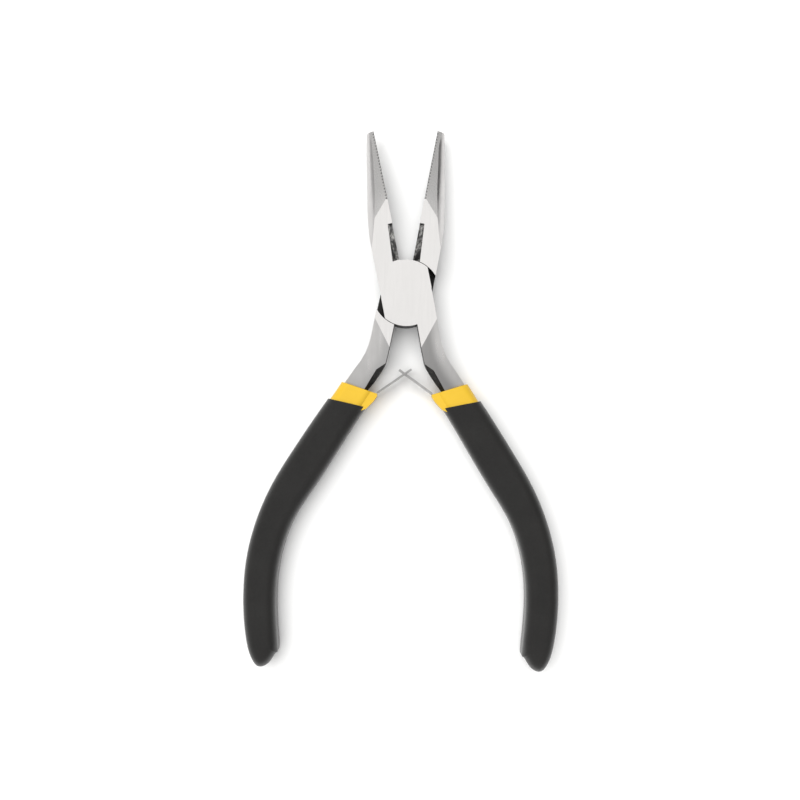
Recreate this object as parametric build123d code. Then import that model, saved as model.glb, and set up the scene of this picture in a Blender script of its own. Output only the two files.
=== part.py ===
"""Needle nose pliers with two interlocked leaf springs and twice-dipped vinyl grips.

Frame: the pliers lie flat. Z is up through their thickness, the resting face is Z = 0,
+Y runs to the jaw tips and the origin is on the pivot axis. The solids stand as the
leaf springs hold the pliers open.

A lever is drawn in its own closed frame: its jaw lies on the -X side of the Y axis, its
tang and grip on the +X side, and its half of the lap joint is the upper one. The back
lever is the same lever turned half a turn about the Y axis.
"""

import math
import os

from build123d import *

# ---- the whole tool ----
body_thickness = 8.6
mid_z = body_thickness / 2
front_jaw_angle = 11.3
back_jaw_angle = 10.8
front_handle_angle = 10.75
back_handle_angle = 12.85

# ---- lap joint and pivot ----
hub_radius = 7.38
shoulder_radius = 7.52
lap_gap = 0.04
strap_half_width = 5.72
edge_half_width = 5.66
rivet_radius = 2.2
rivet_head_radius = 3.2
rivet_head_depth = 1.0
rivet_clearance = 0.04

# ---- jaws ----
jaw_length = 37.3
jaw_face_gap = 0.03
nose_tip_radius = 1.75
nose_tip_round = 0.4
nose_taper_start = (-0.3, 21.4)
nose_taper_end = (-3.2, 18.2)
nose_taper_slope = 0.10
nose_taper_curve = 0.0155
nose_taper_run = 12.5
tooth_start_y = 21.1
tooth_pitch = 0.72
tooth_depth = 0.45
cutter_start_y = 15.8
cutter_end_width = 1.05
cutter_pivot_width = 2.1
cutter_land = 0.15

# ---- tangs and the steel inside the grips ----
tang_slope_start = (5.55, -7.0)
tang_slope_end = (1.05, -12.5)
tang_slope = 0.06
tang_slope_curve = 0.004
tang_slope_run = 13.0
core_inset = 1.3
inner_bevel_start = (1.08, -16.4)
inner_bevel_end = (3.97, -24.2)
inner_bevel_top = 7.8
inner_bevel_width = 0.85
inner_bevel_depth = 2.4
inner_bevel_run_in = 2.2

# ---- vinyl grips ----
grip_edge_round = 2.3
black_skin = 0.45
collar_top_outer_y = -22.45
collar_top_inner_y = -23.3
black_top_y = -26.9

# ---- leaf springs ----
spring_width = 5.0
fork_thickness = 0.42
tongue_thickness = 0.55
fork_length = 9.2
tongue_length = 9.0
fork_rest_angle = 34.5
tongue_rest_angle = 36.3
fork_slot_width = 2.2
tongue_width = 1.7
spring_hinge_x = 1.35
spring_hinge_y = -23.0
anchor_thickness = 0.42
anchor_rivet_radius = 0.8
anchor_rivet_head_radius = 1.4
anchor_rivet_head_depth = 0.35
anchor_rivet_length = 2.6
spring_boss_skin = 0.9


def polygon_prism(points, z_low, z_high):
    """A flat-sided prism standing on z_low with the given corners."""
    outline = Polyline(*points, close=True)
    return Pos(0, 0, z_low) * extrude(make_face(outline), z_high - z_low)


def disc(radius, z_low, z_high):
    """A round plate on the pivot axis."""
    return Pos(0, 0, (z_low + z_high) / 2) * Cylinder(radius, z_high - z_low)


def block(x_low, x_high, y_low, y_high, z_low, z_high):
    """A rectangular block between two corners."""
    centre = Pos((x_low + x_high) / 2, (y_low + y_high) / 2, (z_low + z_high) / 2)
    return centre * Box(x_high - x_low, y_high - y_low, z_high - z_low)


def curved_wedge(start, end, slope, curve, run):
    """Material over a surface that falls away, ever steeper, from the line start to end.

    The surface leaves the top face along that line, falls to the line's left and runs
    level once it has gone on for run.
    """
    length = math.hypot(end[0] - start[0], end[1] - start[1])
    along = ((end[0] - start[0]) / length, (end[1] - start[1]) / length)
    downhill = (-along[1], along[0])
    steps = [run * index / 4 for index in range(5)]
    surface = Spline(*[(s, body_thickness - slope * s - curve * s * s) for s in steps])
    floor = body_thickness - slope * run - curve * run * run
    over = 100.0
    rest = Polyline((run, floor), (over, floor), (over, body_thickness + 5),
                    (0, body_thickness + 5), (0, body_thickness))
    face = make_face([*surface.edges(), *rest.edges()])
    plane = Plane(
        origin=(start[0], start[1], 0),
        x_dir=(downhill[0], downhill[1], 0),
        z_dir=(downhill[1], -downhill[0], 0),
    )
    return extrude(plane * face, over, both=True)


def mirrored_in_thickness(solid):
    """The same solid on the other face of the pliers."""
    return mirror(solid, about=Plane.XY.offset(mid_z))


# ---------------------------------------------------------------- jaw

def nose_round():
    """The long round nose both jaws share when shut, flaring out to the joint's width."""
    flank = Spline(
        (nose_tip_radius, jaw_length - nose_tip_round),
        (3.45, 29.4),
        (4.75, 22.65),
        (5.45, 18.9),
        (6.0, 15.9),
        (6.6, 13.0),
        (7.6, 9.4),
        tangents=[(0.19, -1), (0.3, -1)],
    )
    end = ThreePointArc(
        (nose_tip_radius - nose_tip_round, jaw_length),
        (nose_tip_radius - 0.3 * nose_tip_round, jaw_length - 0.3 * nose_tip_round),
        (nose_tip_radius, jaw_length - nose_tip_round),
    )
    axis_side = Polyline(
        (7.6, 9.4),
        (7.6, 0),
        (0, 0),
        (0, jaw_length),
        (nose_tip_radius - nose_tip_round, jaw_length),
    )
    half = make_face([*end.edges(), *flank.edges(), *axis_side.edges()])
    return Pos(0, 0, mid_z) * revolve(half, Axis.Y)


def nose_taper_cut():
    """The curved wedge that thins the nose outwards and towards the tip."""
    return curved_wedge(nose_taper_end, nose_taper_start, nose_taper_slope, nose_taper_curve, nose_taper_run)


def jaw_blank():
    """The jaw's outline seen flat, as a full-thickness plate on the -X side."""
    flank = Spline(
        (-edge_half_width, 9.0), (-5.66, 12.5), (-5.5, 15.5), (-5.1, 18.7), (-4.57, 21.8),
        (-4.08, 24.4), (-3.13, 29.7), (-2.5, 33.2), (-2.0, 36.0), (-1.8, jaw_length + 1),
        tangents=[(0, 1), (0.15, 1)],
    )
    rest = Polyline((-1.8, jaw_length + 1), (-jaw_face_gap, jaw_length + 1), (-jaw_face_gap, 0),
                    (-edge_half_width, 0), (-edge_half_width, 9.0))
    return extrude(make_face([*flank.edges(), *rest.edges()]), body_thickness)


def tooth_cuts():
    """The row of V grooves across the gripping face, from the flat out to the tip."""
    count = int((jaw_length - 0.3 - tooth_start_y) / tooth_pitch)
    half = 0.42 * tooth_pitch
    cuts = []
    for index in range(count):
        y = tooth_start_y + (index + 0.5) * tooth_pitch
        corners = [(0.5, y - half), (0.5, y + half), (-jaw_face_gap, y + half),
                   (-jaw_face_gap - tooth_depth, y), (-jaw_face_gap, y - half)]
        cuts.append(polygon_prism(corners, -1, body_thickness + 1))
    return cuts


def cutter_bevel():
    """The steep bevel that leaves a cutting edge at mid thickness beside the joint."""
    low = mid_z + cutter_land
    high = body_thickness + 0.5
    rise = (high - low) / (body_thickness - low)
    face_x = -jaw_face_gap

    def corner(y, width):
        return [(face_x, y, low), (face_x - width * rise, y, high), (1.5, y, high), (1.5, y, low)]

    start = Polyline(*corner(cutter_start_y, cutter_end_width), close=True)
    finish = Polyline(*corner(0, cutter_pivot_width), close=True)
    return loft([make_face(start), make_face(finish)])


def jaw():
    """One jaw, full thickness outside the joint and upper half only inside it."""
    solid = nose_round() & jaw_blank()
    taper = nose_taper_cut()
    solid = solid - taper - mirrored_in_thickness(taper)
    solid = solid - tooth_cuts()
    bevel = cutter_bevel() - disc(hub_radius, -1, body_thickness + 1)
    solid = solid - bevel - mirrored_in_thickness(bevel)
    return solid - disc(shoulder_radius, -1, body_thickness + 1)


# ---------------------------------------------------------------- tang and core

def grip_points():
    """Points round the grip's outline seen flat: down the outside, round the end, up the inside."""
    outside = [(9.2, -20.1), (10.82, -24.18), (13.27, -30.17), (16.75, -39.14), (19.82, -48.11),
               (21.53, -57.06), (21.75, -65.97), (20.41, -74.85), (17.84, -83.28)]
    end = [(15.9, -87.0), (13.5, -88.75), (11.6, -87.3), (10.6, -84.9)]
    inside = [(10.92, -82.12), (12.9, -75.13), (14.15, -68.05), (14.29, -60.96), (13.18, -54.28),
              (10.85, -47.87), (7.52, -38.89), (4.31, -29.87), (2.03, -23.88), (0.58, -19.9)]
    return outside, end, inside


def inset_points(points, inset):
    """The same points moved inwards, square to the line between their neighbours."""
    moved = []
    for index, (x, y) in enumerate(points):
        before = points[max(index - 1, 0)]
        after = points[min(index + 1, len(points) - 1)]
        dx, dy = after[0] - before[0], after[1] - before[1]
        size = math.hypot(dx, dy)
        moved.append((x + dy / size * inset, y - dx / size * inset))
    return moved


def grip_outline(inset):
    """The face inside the grip's outline, shrunk by inset, cut square above the collar."""
    outside, end, inside = grip_points()
    points = inset_points(outside + end + inside, inset)
    turn_in = len(outside)
    turn_out = turn_in + len(end)
    outer = Spline(*points[:turn_in + 1], tangents=[(0.44, -1), (-0.6, -0.8)])
    tip = Spline(*points[turn_in:turn_out + 1], tangents=[(-0.6, -0.8), (0.3, 1)])
    inner = Spline(*points[turn_out:], tangents=[(0.3, 1), (-0.35, 1)])
    cap = Line(points[-1], points[0])
    return make_face([*outer.edges(), *tip.edges(), *inner.edges(), *cap.edges()])


def grip_form(inset):
    """The rounded solid of the grip, shrunk by inset on every side."""
    height = body_thickness - 2 * inset
    solid = Pos(0, 0, inset) * extrude(grip_outline(inset), height)
    edges = solid.edges().filter_by(Plane.XY)
    return fillet(edges, grip_edge_round - 1.2 * inset)


def tang_outline():
    """The tang from inside the joint to the start of the grip, seen flat."""
    return [
        (1.12, -5.5), (edge_half_width, -2.0), (5.64, -6.6), (5.54, -9.6), (5.54, -11.4),
        (5.66, -13.2), (5.98, -15.1), (6.67, -17.15), (7.56, -19.1), (8.4, -21.1), (9.25, -23.2),
        (11.3, -30.0), (6.0, -30.0), (3.6, -22.9), (2.62, -20.9), (1.76, -18.85), (1.24, -17.3),
        (1.06, -16.1), (1.0, -12.5),
    ]


def inner_bevel_section(distance, clear_by):
    """The bevel's cutting face, square to the tang's edge, moved out of the steel by clear_by."""
    x0, y0 = inner_bevel_start
    x1, y1 = inner_bevel_end
    length = math.hypot(x1 - x0, y1 - y0)
    along = ((x1 - x0) / length, (y1 - y0) / length)
    into_steel = (-along[1], along[0])
    lean = inner_bevel_width / inner_bevel_depth
    over = 1.0
    corners = [
        (-over * lean, -over - inner_bevel_depth),
        (inner_bevel_width + over * lean, over),
        (-over * lean - 0.5, over),
        (-over * lean - 0.5, -over - inner_bevel_depth),
    ]
    x = x0 + along[0] * distance - into_steel[0] * clear_by
    y = y0 + along[1] * distance - into_steel[1] * clear_by
    plane = Plane(
        origin=(x, y, inner_bevel_top),
        x_dir=(into_steel[0], into_steel[1], 0),
        z_dir=(into_steel[1], -into_steel[0], 0),
    )
    return plane * make_face(Polyline(*corners, close=True)), length


def inner_bevel_cut():
    """The rough bevel along the tang's inner edge, deepening from the bend into the grip."""
    clear, length = inner_bevel_section(-0.6, inner_bevel_width + 0.45)
    full, length = inner_bevel_section(inner_bevel_run_in, 0)
    finish, length = inner_bevel_section(length, 0)
    return loft([clear, full]) + loft([full, finish])


def tang():
    """The bare tang and the steel that runs on inside the grip, in the handle frame."""
    blank = polygon_prism(tang_outline(), 0, body_thickness)
    core = extrude(grip_outline(core_inset), body_thickness)
    core = core - block(-5, 40, -26.0, 0, -1, body_thickness + 1)
    core = core - block(-5, 40, -120, -84.0, -1, body_thickness + 1)
    solid = blank + core
    slope = curved_wedge(tang_slope_start, tang_slope_end, tang_slope, tang_slope_curve, tang_slope_run)
    solid = solid - slope - mirrored_in_thickness(slope)
    bevel = inner_bevel_cut()
    return solid - bevel - mirrored_in_thickness(bevel)


# ---------------------------------------------------------------- lever

def lap_strap(handle_set):
    """The upper half of the lap joint: a strap across the pivot, rounded by the hub."""
    low = mid_z + lap_gap / 2
    reach = hub_radius + 1
    upper = block(-edge_half_width, strap_half_width, 0, reach, low, body_thickness)
    lower = block(-strap_half_width, edge_half_width, -reach, 0, low, body_thickness)
    strap = upper + Rot(0, 0, handle_set) * lower + disc(edge_half_width - 0.1, low, body_thickness)
    return strap & disc(hub_radius, low, body_thickness)


def joint_web(handle_set):
    """Steel that carries the strap out to the jaw and the tang across the shoulder ring."""
    low = mid_z + lap_gap / 2
    ring = disc(shoulder_radius + 0.02, low, body_thickness) - disc(hub_radius - 0.02, low, body_thickness)
    jaw_side = block(-edge_half_width, -jaw_face_gap, 0, 10, low, body_thickness)
    tang_side = polygon_prism(tang_outline(), low, body_thickness)
    return (ring & jaw_side) + (ring & (Rot(0, 0, handle_set) * tang_side))


def lever(handle_set, bore_radius):
    """A whole lever in its closed frame, its handle turned by handle_set about the pivot."""
    handle = Rot(0, 0, handle_set) * tang() - disc(shoulder_radius, -1, body_thickness + 1)
    solid = lap_strap(handle_set) + jaw() + joint_web(handle_set) + handle
    return solid - disc(bore_radius, -1, body_thickness + 1)


def rivet_head(extra):
    """The countersunk top head of the pivot rivet, grown by extra."""
    cone = Cone(rivet_radius + extra, rivet_head_radius + extra, rivet_head_depth)
    return Pos(0, 0, body_thickness - rivet_head_depth / 2) * cone


def pivot_rivet():
    """The pivot rivet with both heads ground flush."""
    shank = disc(rivet_radius, 0, body_thickness)
    return shank + rivet_head(0) + mirrored_in_thickness(rivet_head(0))


def place_front(solid, angle):
    """A closed-frame solid of the front lever, opened by angle."""
    return Rot(0, 0, angle) * solid


def place_back(solid, angle):
    """A closed-frame solid turned over for the back lever, opened by angle."""
    turned = Pos(0, 0, mid_z) * Rot(0, 180, 0) * Pos(0, 0, -mid_z) * solid
    return Rot(0, 0, -angle) * turned


# ---------------------------------------------------------------- vinyl

def above_collar():
    """Everything above the line where the yellow dip ends."""
    corners = [(-10, collar_top_inner_y - 0.1), (1.4, collar_top_inner_y),
               (9.6, collar_top_outer_y), (20, collar_top_outer_y + 0.3), (20, 10), (-10, 10)]
    return polygon_prism(corners, -2, body_thickness + 2)


def above_black():
    """Everything above the slightly bowed line where the black dip ends."""
    bow = ThreePointArc((-10, black_top_y - 0.9), (7.0, black_top_y + 0.15), (24, black_top_y - 0.6))
    rest = Polyline((24, black_top_y - 0.6), (24, 10), (-10, 10), (-10, black_top_y - 0.9))
    face = make_face([*bow.edges(), *rest.edges()])
    return Pos(0, 0, -2) * extrude(face, body_thickness + 4)


def spring_boss():
    """The swelling of the yellow dip around the spring where it leaves the grip."""
    corners = [(1.5, -22.0), (1.32, -23.9), (1.85, -25.2), (3.15, -27.2), (6, -29), (6, -22)]
    margin = (body_thickness - spring_width) / 2 - spring_boss_skin
    return polygon_prism(corners, margin, body_thickness - margin)


def yellow_sleeve(steel, anchor_parts):
    """The first dip, thin under the black one and bare at the collar."""
    solid = grip_form(black_skin) + (spring_boss() - block(-5, 10, -40, -28.5, -1, 12))
    solid = solid - above_collar() - steel
    for part in anchor_parts:
        solid = solid - part
    return solid


def black_sleeve(anchor):
    """The second dip over the first, from below the collar to the end."""
    inside = grip_form(black_skin) + spring_boss() + anchor
    return grip_form(0) - above_black() - inside


# ---------------------------------------------------------------- springs

def anchor_path():
    """Centre line of the spring's held end: flat on the tang, then out to the hinge."""
    lead = (spring_hinge_x + 0.16, spring_hinge_y - 0.36)
    return [lead, (2.5, -24.7), (4.3, -27.2), (5.5, -29.8), (6.8, -33.5)]


def strip(points, thickness, z_low, z_high):
    """A strip of the given thickness bent along a line of points."""
    left = []
    right = []
    for index, point in enumerate(points):
        before = points[max(index - 1, 0)]
        after = points[min(index + 1, len(points) - 1)]
        dx, dy = after[0] - before[0], after[1] - before[1]
        size = math.hypot(dx, dy)
        nx, ny = -dy / size * thickness / 2, dx / size * thickness / 2
        left.append((point[0] + nx, point[1] + ny))
        right.append((point[0] - nx, point[1] - ny))
    return polygon_prism(left + right[::-1], z_low, z_high)


def spring_anchor(steel):
    """The held end of a spring leaf, lying on the tang's steel under the vinyl."""
    margin = (body_thickness - spring_width) / 2
    return strip(anchor_path(), anchor_thickness, margin, body_thickness - margin) - steel


def anchor_rivet():
    """The small rivet that holds the spring's anchored end to the steel."""
    (x0, y0), (x1, y1) = anchor_path()[-2:]
    tilt = math.degrees(math.atan2(y1 - y0, x1 - x0)) + 90
    head_x = -(anchor_thickness + anchor_rivet_head_depth) / 2 + 0.01
    head = Pos(head_x, 0, 0) * Rot(0, 90, 0) * Cylinder(anchor_rivet_head_radius, anchor_rivet_head_depth)
    shank = Pos(0.9, 0, 0) * Rot(0, 90, 0) * Cylinder(anchor_rivet_radius, anchor_rivet_length)
    return Pos((x0 + x1) / 2, (y0 + y1) / 2, mid_z) * Rot(0, 0, tilt) * (head + shank)


def leaf(length, thickness, slot, tongue):
    """A flat leaf along +X from its hinge edge, forked by slot or narrowed to tongue."""
    low = mid_z - spring_width / 2
    high = mid_z + spring_width / 2
    solid = block(0, length, -thickness / 2, thickness / 2, low, high) + disc(thickness / 2, low, high)
    split = 5.3
    if slot:
        solid = solid - block(split, length + 1, -1, 1, mid_z - slot / 2, mid_z + slot / 2)
    if tongue:
        solid = solid - block(split, length + 1, -1, 1, low - 1, mid_z - tongue / 2)
        solid = solid - block(split, length + 1, -1, 1, mid_z + tongue / 2, high + 1)
    return solid


def hinge_point(handle_angle, side):
    """Where a leaf springs from its grip, in the open pose; side is 1 front, -1 back."""
    a = math.radians(handle_angle)
    x = spring_hinge_x * math.cos(a) - spring_hinge_y * math.sin(a)
    y = spring_hinge_x * math.sin(a) + spring_hinge_y * math.cos(a)
    return side * x, y


def build():
    """Every node of the pliers in the open pose."""
    front_set = front_handle_angle - front_jaw_angle
    back_set = back_handle_angle - back_jaw_angle
    rivet = pivot_rivet()
    front = lever(front_set, rivet_radius) - rivet_head(0)
    back = lever(back_set, rivet_radius + rivet_clearance) - rivet_head(rivet_clearance)
    steel = tang()
    small_rivet = anchor_rivet()
    anchor = spring_anchor(steel) - small_rivet
    yellow = yellow_sleeve(steel, [anchor, small_rivet])
    black = black_sleeve(anchor + small_rivet)
    front = front - Rot(0, 0, front_set) * small_rivet
    back = back - Rot(0, 0, back_set) * small_rivet
    tongue_x, tongue_y = hinge_point(front_handle_angle, 1)
    fork_x, fork_y = hinge_point(back_handle_angle, -1)
    fork = leaf(fork_length, fork_thickness, fork_slot_width, 0)
    tongue = leaf(tongue_length, tongue_thickness, 0, tongue_width)
    return {
        "front_lever": place_front(front, front_jaw_angle),
        "back_lever": place_back(back, back_jaw_angle),
        "pivot_rivet": rivet,
        "right_grip_inner_sleeve": place_front(yellow, front_handle_angle),
        "left_grip_inner_sleeve": place_back(yellow, back_handle_angle),
        "right_grip_outer_sleeve": place_front(black, front_handle_angle),
        "left_grip_outer_sleeve": place_back(black, back_handle_angle),
        "right_spring_anchor": place_front(anchor, front_handle_angle),
        "left_spring_anchor": place_back(anchor, back_handle_angle),
        "right_spring_rivet": place_front(small_rivet, front_handle_angle),
        "left_spring_rivet": place_back(small_rivet, back_handle_angle),
        "right_spring_leaf": Pos(tongue_x, tongue_y, 0) * Rot(0, 0, 180 - tongue_rest_angle) * tongue,
        "left_spring_leaf": Pos(fork_x, fork_y, 0) * Rot(0, 0, fork_rest_angle) * fork,
    }


os.makedirs("parts", exist_ok=True)
for name, solid in build().items():
    count = len(solid.solids())
    print(name, "solids", count, "volume", round(solid.volume, 2), "valid", solid.is_valid)
    export_step(solid, f"parts/{name}.step")
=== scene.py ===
"""Needle nose pliers lying open on a pale table, seen from straight above."""

import math

import bmesh
import bpy
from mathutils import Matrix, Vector

MM = 0.001

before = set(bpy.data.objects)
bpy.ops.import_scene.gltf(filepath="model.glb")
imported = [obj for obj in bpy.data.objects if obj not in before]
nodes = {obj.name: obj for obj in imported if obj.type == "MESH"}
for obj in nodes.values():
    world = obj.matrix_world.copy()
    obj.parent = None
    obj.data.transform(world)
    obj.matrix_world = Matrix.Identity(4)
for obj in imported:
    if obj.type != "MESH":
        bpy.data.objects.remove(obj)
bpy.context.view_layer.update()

# ---- the pliers' own sizes, in millimetres and degrees ----
THICKNESS = 8.6
MID_Z = THICKNESS / 2
FRONT_JAW_ANGLE = 11.3
BACK_JAW_ANGLE = 10.8
FRONT_HANDLE_ANGLE = 10.75
BACK_HANDLE_ANGLE = 12.85
HUB_RADIUS = 7.38
SHOULDER_RADIUS = 7.52

# ---- where the finishes change, in a lever's closed frame, in millimetres ----
SHOULDER_MARGIN = 0.1
SHOULDER_WALL = 0.25
LAP_FACE_MARGIN = 0.2
CUTTER_END_Y = 16.2
CUTTER_INNER_X = -2.8
NOTCH_END_Y = 16.5
NOTCH_INNER_X = -2.4
FACET_START_Y = 17.0
TEETH_START_Y = 21.0
TEETH_INNER_X = -0.6

# ---- how a face lies: parts of its unit normal, upright (flat) or sideways ----
LEVEL = 0.9992
FACE_DOWN = -0.9
STEEP = 0.3
WALL = 0.25
BEVEL_STEEPEST = 0.15
BEVEL_FLATTEST = 0.8
BEVEL_SIDEWAYS = 0.3
NOTCH_END_FACING = -0.8
TOOTH_FACING = 0.4
GRIPPING_FACE = 0.6
FACET_STEEPEST = 0.8
FACET_SIDEWAYS = -0.45
TANG_INWARD = -0.25
TANG_EDGE = 0.96

# ---- grain of the surfaces, in features per metre ----
GRINDING = 2600.0
BRUSHING = 1500.0
SPRING_GRAIN = 1800.0
STEEL_CLOUDS = 90.0
STEEL_SPECKS = 900.0
OXIDE_PITS = 1500.0
OXIDE_PATCHES = 260.0
CUTTER_SCRATCHES = 2100.0
CUTTER_PATCHES = 420.0
VINYL_CLOUDS = 120.0
VINYL_PEBBLES = 2400.0
VINYL_SAGS = 240.0
FLOOR_CLOUDS = 6.0

# ---- how grain is drawn out along X, Y and Z ----
GRINDING_STRETCH = (1.0, 0.06, 1.0)
SCRATCH_STRETCH = (0.35, 1.0, 0.35)

# ---- depth of the surfaces' relief, in metres ----
STEEL_RELIEF = 0.00002
OXIDE_RELIEF = 0.00004
CUTTER_RELIEF = 0.00005
PEBBLE_RELIEF = 0.00003
SAG_RELIEF = 0.00025

# ---- how far the grain is turned from the jaws' line: tangs in degrees, springs in radians ----
TANG_BRUSH_TURN = 20
SPRING_BRUSH_TURN = 0.6

# ---- painted shade bands down the tangs: centre, start and darkest radius in millimetres, colour ----
FRONT_PAINTED_SHADE_BAND = ((25.5, -7.6), 18.4, 21.0, (0.46, 0.455, 0.45))
BACK_PAINTED_SHADE_BAND = ((-25.5, -7.6), 19.2, 22.0, (0.60, 0.595, 0.59))

# ---- the studio, in watts and metres ----
OVERHEAD = 1.02
SKY = 0.56
SOFTBOX_WATTS = 19.0
SOFTBOX_WIDTH = 1.4
SOFTBOX_PLACE = (-0.25, 0.20, 1.2)
SOFTBOX_AIM = (0, -0.02, 0)
FLOOR_HALF_WIDTH = 3.0
FLOOR_DROP = 0.00002

# ---- soft round patches of sky: direction, inner and outer angle, factor at the heart and outside ----
SKY_PATCHES = (
    ((0.0, 0.10, 1.0), 8, 17, OVERHEAD, SKY),
    ((0.92, 0.02, 0.42), 16, 38, 0.05, 1.0),
    ((0.10, -0.26, 0.96), 3, 15, 0.76, 1.0),
    ((-0.85, -0.1, 0.5), 15, 40, 0.9, 1.0),
)

# ---- the camera: place above the pliers' mid plane, lens and sensor in millimetres, clipping in metres ----
CAMERA_X = -1.42
CAMERA_Y = -23.81
CAMERA_HEIGHT = 250.0
CAMERA_LENS = 49.8
CAMERA_SENSOR = 36.0
CAMERA_NEAR = 0.01
CAMERA_FAR = 20.0


# ---------------------------------------------------------------- shader helpers

SOCKETS = {
    "colour": "Base Color",
    "metallic": "Metallic",
    "roughness": "Roughness",
    "specular": "Specular IOR Level",
    "normal": "Normal",
    "sheen": "Sheen Weight",
}


class Graph:
    """A material's node tree with short calls for the nodes used here."""

    def __init__(self, name):
        self.material = bpy.data.materials.new(name)
        self.material.use_nodes = True
        self.tree = self.material.node_tree
        self.tree.nodes.clear()
        self.output = self.node("ShaderNodeOutputMaterial")
        self.shader = self.node("ShaderNodeBsdfPrincipled")
        self.link(self.shader.outputs[0], self.output.inputs[0])
        self.coordinates = self.node("ShaderNodeTexCoord")

    def node(self, kind, **values):
        """A new node with the given settings."""
        made = self.tree.nodes.new(kind)
        for key, value in values.items():
            setattr(made, key, value)
        return made

    def link(self, source, target):
        """Joins an output socket to an input socket."""
        self.tree.links.new(source, target)

    def noise(self, scale, detail=3.0, stretch=(1, 1, 1), turn=0.0, roughness=0.55):
        """Noise in object space, in features per metre, stretched and turned about Z."""
        mapping = self.node("ShaderNodeMapping")
        mapping.inputs["Scale"].default_value = stretch
        mapping.inputs["Rotation"].default_value = (0, 0, turn)
        self.link(self.coordinates.outputs["Object"], mapping.inputs["Vector"])
        texture = self.node("ShaderNodeTexNoise")
        texture.inputs["Scale"].default_value = scale
        texture.inputs["Detail"].default_value = detail
        texture.inputs["Roughness"].default_value = roughness
        self.link(mapping.outputs[0], texture.inputs["Vector"])
        return texture.outputs["Fac"]

    def remap(self, value, low, high, from_low=0.3, from_high=0.7):
        """A socket's value moved from one range to another."""
        made = self.node("ShaderNodeMapRange")
        made.inputs["From Min"].default_value = from_low
        made.inputs["From Max"].default_value = from_high
        made.inputs["To Min"].default_value = low
        made.inputs["To Max"].default_value = high
        self.link(value, made.inputs["Value"])
        return made.outputs["Result"]

    def blend(self, factor, first, second):
        """A colour between two colours, or sockets, by a factor socket."""
        made = self.node("ShaderNodeMix", data_type="RGBA")
        self.link(factor, made.inputs["Factor"])
        for socket, value in ((made.inputs[6], first), (made.inputs[7], second)):
            if hasattr(value, "links"):
                self.link(value, socket)
            else:
                socket.default_value = (*value, 1)
        return made.outputs[2]

    def ring(self, centre, start, finish):
        """A factor rising from 0 at one distance from an upright axis to 1 at another."""
        flat = self.node("ShaderNodeVectorMath", operation="MULTIPLY")
        flat.inputs[1].default_value = (1, 1, 0)
        self.link(self.coordinates.outputs["Object"], flat.inputs[0])
        away = self.node("ShaderNodeVectorMath", operation="DISTANCE")
        away.inputs[1].default_value = (centre[0] * MM, centre[1] * MM, 0)
        self.link(flat.outputs[0], away.inputs[0])
        made = self.node("ShaderNodeMapRange", interpolation_type="SMOOTHSTEP")
        made.inputs["From Min"].default_value = start * MM
        made.inputs["From Max"].default_value = finish * MM
        self.link(away.outputs["Value"], made.inputs["Value"])
        return made.outputs["Result"]

    def bump(self, height, strength, distance, before=None):
        """A normal bumped by a height socket, on top of an earlier normal."""
        made = self.node("ShaderNodeBump")
        made.inputs["Strength"].default_value = strength
        made.inputs["Distance"].default_value = distance
        self.link(height, made.inputs["Height"])
        if before is not None:
            self.link(before, made.inputs["Normal"])
        return made.outputs[0]

    def set(self, **values):
        """Sets the shader's inputs from numbers, colours or sockets."""
        for key, value in values.items():
            socket = self.shader.inputs[SOCKETS[key]]
            if hasattr(value, "links"):
                self.link(value, socket)
            elif key == "colour":
                socket.default_value = (*value, 1)
            else:
                socket.default_value = value


def steel(name, light, dark, rough_low, rough_high, turn, grain=GRINDING, bump=0.05, painted_shade_band=None):
    """Ground steel: fine lines across the lever, faint clouding and small handling marks.

    painted_shade_band is a centre, in millimetres, a radius where painted shade starts to darken
    the steel and a radius where it is darkest, with the shade colour painted there.
    """
    g = Graph(name)
    lines = g.noise(grain, 4, GRINDING_STRETCH, turn)
    clouds = g.noise(STEEL_CLOUDS, 3)
    specks = g.noise(STEEL_SPECKS, 2)
    colour = g.blend(g.remap(clouds, 0.0, 1.0, 0.35, 0.65), dark, light)
    colour = g.blend(g.remap(lines, 0.0, 0.35), colour, dark)
    # painted shade: the steel darkens in a band down the tang, standing in for light falling off it
    if painted_shade_band:
        centre, start, darkest, shade_colour = painted_shade_band
        colour = g.blend(g.ring(centre, start, darkest), colour, shade_colour)
    roughness = g.remap(lines, rough_low, rough_high)
    normal = g.bump(lines, bump, STEEL_RELIEF)
    normal = g.bump(specks, bump * 0.6, STEEL_RELIEF, normal)
    g.set(colour=colour, metallic=1.0, roughness=roughness, normal=normal)
    return g.material


def black_oxide(name):
    """Blackened, unground steel in the joint and down the tangs' inner sides."""
    g = Graph(name)
    pits = g.noise(OXIDE_PITS, 5)
    patches = g.noise(OXIDE_PATCHES, 3)
    colour = g.blend(g.remap(patches, 0.0, 1.0), (0.006, 0.006, 0.006), (0.028, 0.026, 0.025))
    g.set(
        colour=colour,
        metallic=0.25,
        roughness=g.remap(pits, 0.42, 0.62),
        specular=0.35,
        normal=g.bump(pits, 0.25, OXIDE_RELIEF),
    )
    return g.material


def cutter_steel(name, turn):
    """The cutters' bevels: blackened, with bright machining scratches across them."""
    g = Graph(name)
    scratches = g.noise(CUTTER_SCRATCHES, 3, SCRATCH_STRETCH, turn, 0.7)
    patches = g.noise(CUTTER_PATCHES, 3)
    mask = g.node("ShaderNodeMath", operation="MULTIPLY")
    g.link(g.remap(scratches, 0.0, 1.0, 0.41, 0.55), mask.inputs[0])
    g.link(g.remap(patches, 0.0, 1.0, 0.42, 0.55), mask.inputs[1])
    colour = g.blend(mask.outputs[0], (0.016, 0.015, 0.014), (0.62, 0.61, 0.59))
    g.set(
        colour=colour,
        metallic=0.85,
        roughness=g.remap(patches, 0.5, 0.34),
        normal=g.bump(scratches, 0.35, CUTTER_RELIEF),
    )
    return g.material


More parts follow.
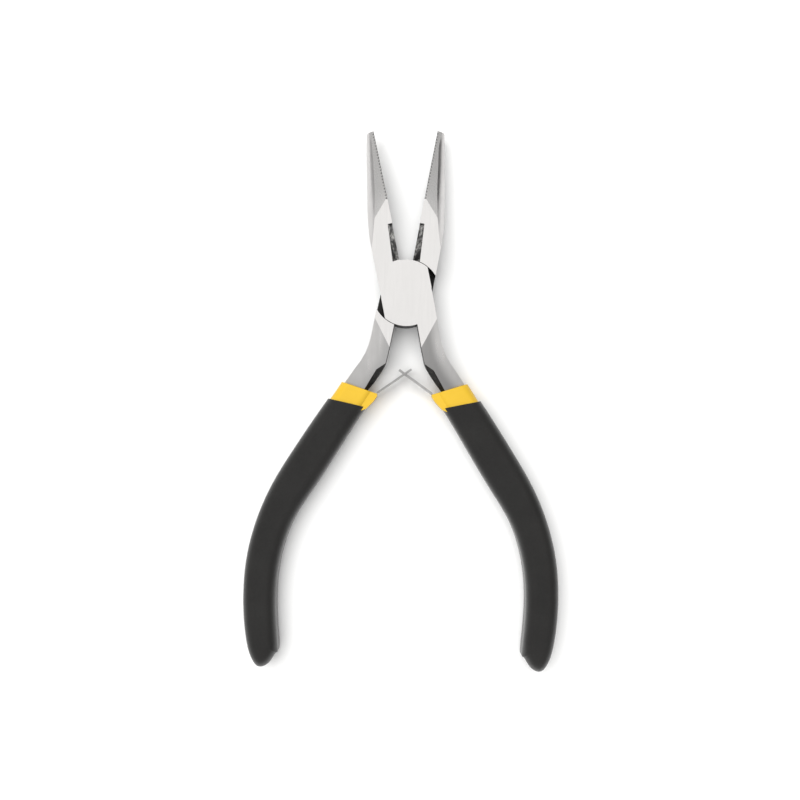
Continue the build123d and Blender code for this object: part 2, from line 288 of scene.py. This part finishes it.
def vinyl(name, deep, pale, rough_low, rough_high, specular, pebble, sheen=0.0):
    """Dipped vinyl: a soft uneven skin with faint pebbling."""
    g = Graph(name)
    clouds = g.noise(VINYL_CLOUDS, 3)
    pebbles = g.noise(VINYL_PEBBLES, 3)
    sags = g.noise(VINYL_SAGS, 2)
    colour = g.blend(g.remap(clouds, 0.0, 1.0), deep, pale)
    normal = g.bump(sags, 0.12, SAG_RELIEF)
    normal = g.bump(pebbles, pebble, PEBBLE_RELIEF, normal)
    g.set(
        colour=colour,
        roughness=g.remap(pebbles, rough_low, rough_high),
        specular=specular,
        normal=normal,
        sheen=sheen,
    )
    return g.material


# ---------------------------------------------------------------- levers

def closed_direction(direction, angle, turned):
    """A direction of the open pliers, turned into a lever's own closed frame."""
    a = math.radians(angle if turned else -angle)
    x, y, z = direction
    x, y = x * math.cos(a) - y * math.sin(a), x * math.sin(a) + y * math.cos(a)
    if turned:
        x, z = -x, -z
    return x, y, z


def closed_point(point, angle, turned):
    """A point of the open pliers, in millimetres, seen in a lever's own closed frame."""
    x, y, z = closed_direction(point, angle, turned)
    if turned:
        z = THICKNESS + z
    return x, y, z


def hub_finish(y, z, radius, nz):
    """The finish of a face inside the shoulder of the joint."""
    flat = abs(nz)
    if nz < FACE_DOWN and abs(z - MID_Z) < LAP_FACE_MARGIN:
        return "black"
    if flat < STEEP and abs(radius - SHOULDER_RADIUS) < SHOULDER_WALL:
        return "black"
    if flat < STEEP:
        return "black" if y < 0 else "side"
    return "polished"


def jaw_finish(x, y, nx, ny, flat):
    """The finish of a face of a jaw."""
    bevelled = BEVEL_STEEPEST < flat < BEVEL_FLATTEST and nx > BEVEL_SIDEWAYS
    if bevelled and y < CUTTER_END_Y and x > CUTTER_INNER_X:
        return "cutter"
    if ny < NOTCH_END_FACING and flat < STEEP and y < NOTCH_END_Y and x > NOTCH_INNER_X:
        return "black"
    # the teeth's grooves get painted shade, standing in for the shadow in the notches
    if flat < STEEP and abs(ny) > TOOTH_FACING and x > TEETH_INNER_X and y > TEETH_START_Y:
        return "shaded_groove"
    if nx > GRIPPING_FACE or flat < WALL:
        return "side"
    if flat > LEVEL:
        return "polished"
    if flat > FACET_STEEPEST and y > FACET_START_Y and nx > FACET_SIDEWAYS:
        return "facet"
    return "flank"


def tang_finish(inward, flat):
    """The finish of a face of a tang, inward being the X it faces in the handle's own frame."""
    if inward < TANG_INWARD and flat < TANG_EDGE:
        return "black"
    if flat < STEEP:
        return "side"
    return "tang" if flat < LEVEL else "polished"


def finish_of(centre, normal, handle_normal):
    """Which finish a small face of a lever has, from where it is and the way it faces."""
    x, y, z = centre
    nx, ny, nz = normal
    radius = math.hypot(x, y)
    if radius < SHOULDER_RADIUS + SHOULDER_MARGIN and y < HUB_RADIUS:
        return hub_finish(y, z, radius, nz)
    if y > 0:
        return jaw_finish(x, y, nx, ny, abs(nz))
    return tang_finish(handle_normal[0], abs(nz))


def lever_finishes(name, turn, tang_turn, painted_shade_band):
    """A lever's materials, in the order of its slots."""
    return {
        "polished": steel(
            name + "_polished", (0.90, 0.885, 0.872), (0.87, 0.858, 0.846), 0.21, 0.24, turn, bump=0.007,
        ),
        # partly a satin ground finish, partly painted shade: the flanks' steel is darkened for the light
        # they reflect
        "flank": steel(
            name + "_flanks", (0.60, 0.59, 0.585), (0.51, 0.50, 0.495), 0.26, 0.36, turn, bump=0.04,
        ),
        "facet": steel(
            name + "_nose", (0.84, 0.83, 0.82), (0.76, 0.75, 0.74), 0.22, 0.30, turn, bump=0.03,
        ),
        # the brushed tangs carry a band of painted shade
        "tang": steel(
            name + "_brushed", (0.86, 0.85, 0.84), (0.72, 0.71, 0.70), 0.26, 0.36, tang_turn,
            BRUSHING, 0.07, painted_shade_band,
        ),
        # partly a brushed satin finish, partly painted shade: the walls' steel is darkened for the light
        # they reflect
        "side": steel(
            name + "_sides", (0.46, 0.455, 0.45), (0.36, 0.355, 0.35), 0.36, 0.48, turn, BRUSHING, 0.12,
        ),
        # painted shade: near-black steel standing in for the shadow down the teeth's grooves
        "shaded_groove": steel(
            name + "_grooves", (0.13, 0.128, 0.125), (0.07, 0.069, 0.067), 0.40, 0.52, turn, bump=0.10,
        ),
        "black": black_oxide(name + "_black"),
        "cutter": cutter_steel(name + "_cutter", turn),
    }


def dress_lever(name, jaw_angle, handle_angle, turned, painted_shade_band):
    """Gives each face of a lever its finish."""
    way = -1 if turned else 1
    turn = math.radians(way * jaw_angle)
    tang_turn = math.radians(way * (handle_angle + TANG_BRUSH_TURN))
    finishes = lever_finishes(name, turn, tang_turn, painted_shade_band)
    mesh = nodes[name].data
    mesh.materials.clear()
    order = list(finishes)
    for key in order:
        mesh.materials.append(finishes[key])
    for polygon in mesh.polygons:
        centre = tuple(c / MM for c in polygon.center)
        normal = tuple(polygon.normal)
        key = finish_of(
            closed_point(centre, jaw_angle, turned),
            closed_direction(normal, jaw_angle, turned),
            closed_direction(normal, handle_angle, turned),
        )
        polygon.material_index = order.index(key)
    return finishes


def cover(name, material):
    """Gives a CAD node one material."""
    mesh = nodes[name].data
    mesh.materials.clear()
    mesh.materials.append(material)


def dress_pliers():
    """Gives every node of the pliers its looks."""
    front = dress_lever("front_lever", FRONT_JAW_ANGLE, FRONT_HANDLE_ANGLE, False, FRONT_PAINTED_SHADE_BAND)
    dress_lever("back_lever", BACK_JAW_ANGLE, BACK_HANDLE_ANGLE, True, BACK_PAINTED_SHADE_BAND)
    cover("pivot_rivet", front["polished"])
    spring_steel = steel(
        "spring_steel", (0.66, 0.655, 0.65), (0.50, 0.495, 0.49), 0.30, 0.42,
        SPRING_BRUSH_TURN, SPRING_GRAIN, 0.08,
    )
    yellow = vinyl(
        "yellow_vinyl", (0.66, 0.413, 0.027), (0.70, 0.45, 0.034), 0.38, 0.50, 0.35, 0.06,
    )
    black = vinyl(
        "black_vinyl", (0.0050, 0.0046, 0.0042), (0.0095, 0.0090, 0.0082), 0.46, 0.58, 0.55, 0.20,
        sheen=0.22,
    )
    for side in ("left", "right"):
        for part in ("_spring_leaf", "_spring_anchor", "_spring_rivet"):
            cover(side + part, spring_steel)
        cover(side + "_grip_inner_sleeve", yellow)
        cover(side + "_grip_outer_sleeve", black)


# ---------------------------------------------------------------- stage, light and camera

def floor_material():
    """A plain off-white table with the faintest unevenness."""
    g = Graph("pale_floor")
    clouds = g.noise(FLOOR_CLOUDS, 3)
    colour = g.blend(g.remap(clouds, 0.0, 1.0), (0.90, 0.90, 0.895), (0.92, 0.92, 0.915))
    g.set(colour=colour, roughness=0.7, specular=0.2)
    return g.material


def make_floor():
    """A flat table top a hair below the pliers' resting face."""
    data = bpy.data.meshes.new("floor")
    shape = bmesh.new()
    bmesh.ops.create_grid(shape, x_segments=2, y_segments=2, size=FLOOR_HALF_WIDTH)
    shape.to_mesh(data)
    shape.free()
    data.materials.append(floor_material())
    floor = bpy.data.objects.new("floor", data)
    bpy.context.scene.collection.objects.link(floor)
    floor.location = (0, 0, -FLOOR_DROP)


def sky_patch(tree, coordinates, direction, inner, outer, at_heart, outside):
    """A soft round patch of sky: one factor at its heart and another outside it."""
    dot = tree.nodes.new("ShaderNodeVectorMath")
    dot.operation = "DOT_PRODUCT"
    dot.inputs[1].default_value = Vector(direction).normalized()
    tree.links.new(coordinates.outputs["Generated"], dot.inputs[0])
    ramp = tree.nodes.new("ShaderNodeMapRange")
    ramp.interpolation_type = "SMOOTHSTEP"
    ramp.inputs["From Min"].default_value = math.cos(math.radians(outer))
    ramp.inputs["From Max"].default_value = math.cos(math.radians(inner))
    ramp.inputs["To Min"].default_value = outside
    ramp.inputs["To Max"].default_value = at_heart
    tree.links.new(dot.outputs["Value"], ramp.inputs["Value"])
    return ramp.outputs["Result"]


def make_world():
    """Soft studio surroundings: a bright box overhead, dimmer sky, and a dark card to the right."""
    world = bpy.data.worlds.new("studio")
    bpy.context.scene.world = world
    world.use_nodes = True
    tree = world.node_tree
    tree.nodes.clear()
    output = tree.nodes.new("ShaderNodeOutputWorld")
    background = tree.nodes.new("ShaderNodeBackground")
    tree.links.new(background.outputs[0], output.inputs[0])
    coordinates = tree.nodes.new("ShaderNodeTexCoord")
    factors = [sky_patch(tree, coordinates, *patch) for patch in SKY_PATCHES]
    strength = factors[0]
    for factor in factors[1:]:
        product = tree.nodes.new("ShaderNodeMath")
        product.operation = "MULTIPLY"
        tree.links.new(strength, product.inputs[0])
        tree.links.new(factor, product.inputs[1])
        strength = product.outputs[0]
    tree.links.new(strength, background.inputs["Strength"])
    background.inputs["Color"].default_value = (1.0, 0.995, 0.99, 1)


def make_light():
    """A large softbox well above the table, wide enough to leave only soft shadows."""
    data = bpy.data.lights.new("softbox", "AREA")
    data.shape = "DISK"
    data.size = SOFTBOX_WIDTH
    data.energy = SOFTBOX_WATTS
    data.specular_factor = 0.0
    lamp = bpy.data.objects.new("softbox", data)
    bpy.context.scene.collection.objects.link(lamp)
    lamp.location = SOFTBOX_PLACE
    aim = Vector(SOFTBOX_AIM) - lamp.location
    lamp.rotation_euler = aim.to_track_quat("-Z", "Y").to_euler()
    lamp.visible_glossy = False


def make_camera():
    """Straight above the pliers, about two of their lengths away."""
    data = bpy.data.cameras.new("camera")
    data.sensor_width = CAMERA_SENSOR
    data.lens = CAMERA_LENS
    data.clip_start = CAMERA_NEAR
    data.clip_end = CAMERA_FAR
    camera = bpy.data.objects.new("camera", data)
    bpy.context.scene.collection.objects.link(camera)
    camera.location = (CAMERA_X * MM, CAMERA_Y * MM, (MID_Z + CAMERA_HEIGHT) * MM)
    bpy.context.scene.camera = camera


dress_pliers()
make_floor()
make_world()
make_light()
make_camera()
bpy.context.scene.view_settings.view_transform = "Standard"
bpy.context.scene.view_settings.look = "None"
